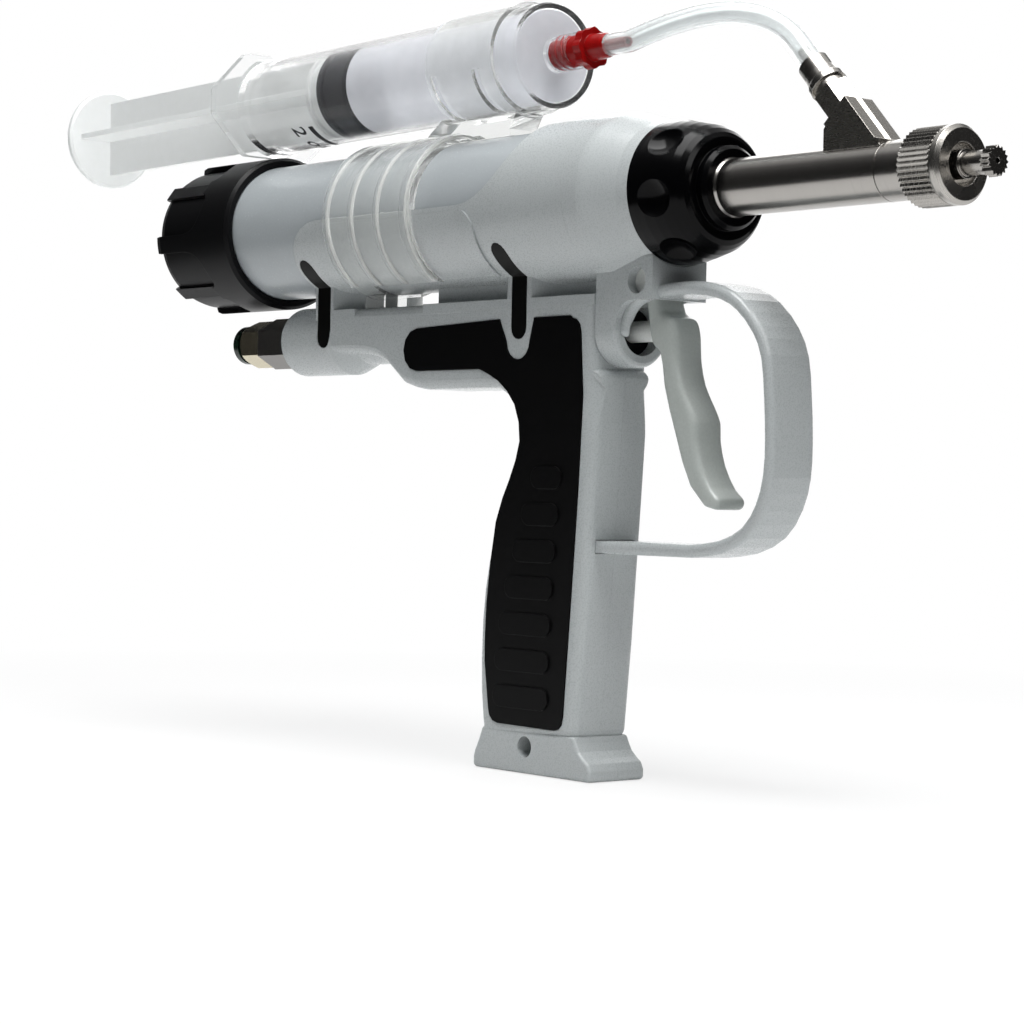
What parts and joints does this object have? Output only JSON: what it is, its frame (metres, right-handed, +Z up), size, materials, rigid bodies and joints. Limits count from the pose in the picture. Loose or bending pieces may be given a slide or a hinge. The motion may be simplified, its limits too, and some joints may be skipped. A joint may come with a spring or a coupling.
{
  "type": "adhesive dispensing gun",
  "caption": "Hand-held air-driven adhesive gun: barrel on a pistol grip, trigger with guard, steel dosing tube and a syringe reservoir on top joined by a clear hose.",
  "frame": {"origin": "middle of the foot's sole", "axes": "+X out of the nozzle, +Y to the left of the gun, +Z up"},
  "size_m": [0.4074, 0.0486, 0.2191],
  "materials": {
    "light_grey": "satin, injection moulded",
    "barrel_grey": "satin",
    "gloss_black": "gloss",
    "knob_black": "matt",
    "rubber_black": "matt",
    "seal_rubber": "matt",
    "trigger_grey": "satin",
    "stainless": "turned and brushed",
    "steel": "bright",
    "aluminium": "machined",
    "white_plastic": "satin",
    "brass": "nickel-tinted",
    "collar_green": "gloss",
    "clear_syringe": "translucent",
    "clear_hose": "clear",
    "luer_red": "gloss"
  },
  "bodies": {
    "gun": {"frame_right": "light_grey", "frame_left": "light_grey", "front_housing": "light_grey", "barrel_tube": "barrel_grey", "nose_cap": "gloss_black", "strap_inserts": "knob_black", "valve_body": "knob_black", "grip_insert_right": "rubber_black", "grip_insert_left": "rubber_black", "gland_seal": "seal_rubber", "rod_seal": "seal_rubber", "dosing_tube": "stainless", "inlet_block": "stainless", "outlet_body": "stainless", "collar_nut": "stainless", "nozzle": "stainless", "hose_ferrule": "stainless", "return_spring": "steel", "valve_spring": "steel", "inlet_check_ball": "steel", "outlet_check_ball": "steel", "pivot_pin": "steel", "case_screws": "steel", "knob_retaining_ring": "steel", "inlet_fitting": "steel", "front_gland": "aluminium", "rear_plug": "aluminium", "supply_tube": "brass", "transfer_tube": "brass", "fitting_ring": "brass", "syringe_barrel": "clear_syringe", "syringe_saddle": "clear_syringe", "feed_hose": "clear_hose", "luer_adapter": "luer_red"},
    "trigger": {"trigger": "trigger_grey"},
    "valve_stem": {"valve_stem": "white_plastic"},
    "piston": {"piston": "aluminium", "piston_seal": "seal_rubber", "piston_rod": "steel", "dosing_plunger": "white_plastic"},
    "dose_knob": {"dose_knob": "knob_black"},
    "dose_stop": {"dose_stop": "steel"},
    "syringe_plunger": {"syringe_plunger": "clear_syringe", "syringe_seal": "rubber_black"},
    "release_collar": {"release_collar": "collar_green"}
  },
  "joints": [
    {"name": "trigger_pull", "type": "hinge", "parent": "gun", "child": "trigger", "pos_m": [0.0401, 0, 0.1364], "axis": [0, 1, 0], "range_deg": [0, 12.5], "stiffness_Nm_per_rad": 0.8, "springref_deg": -5.73},
    {"name": "valve_push", "type": "slide", "parent": "gun", "child": "valve_stem", "axis": [-1, 0, 0], "range_m": [0, 0.0029], "deforming": ["valve_spring"]},
    {"name": "piston_stroke", "type": "slide", "parent": "gun", "child": "piston", "axis": [1, 0, 0], "range_m": [0, 0.025], "stiffness_N_per_m": 800, "springref_m": -0.02, "deforming": ["return_spring"]},
    {"name": "dose_knob_turn", "type": "hinge", "parent": "gun", "child": "dose_knob", "pos_m": [-0.154, 0, 0.16], "axis": [1, 0, 0], "range_deg": [0, 1080]},
    {"name": "dose_stop_travel", "type": "slide", "parent": "dose_knob", "child": "dose_stop", "axis": [-1, 0, 0], "range_m": [0, 0.009]},
    {"name": "syringe_plunger_slide", "type": "slide", "parent": "gun", "child": "syringe_plunger", "axis": [0.9999, 0, 0.014], "range_m": [-0.025, 0.066]},
    {"name": "release_collar_press", "type": "slide", "parent": "gun", "child": "release_collar", "axis": [1, 0, 0], "range_m": [0, 0.0012], "stiffness_N_per_m": 800, "springref_m": -0.001}
  ],
  "couplings": [
    {"joint": "valve_push", "follows": "trigger_pull", "m_per_rad": 0.013291},
    {"joint": "dose_stop_travel", "follows": "dose_knob_turn", "m_per_rad": 0.000477}
  ]
}
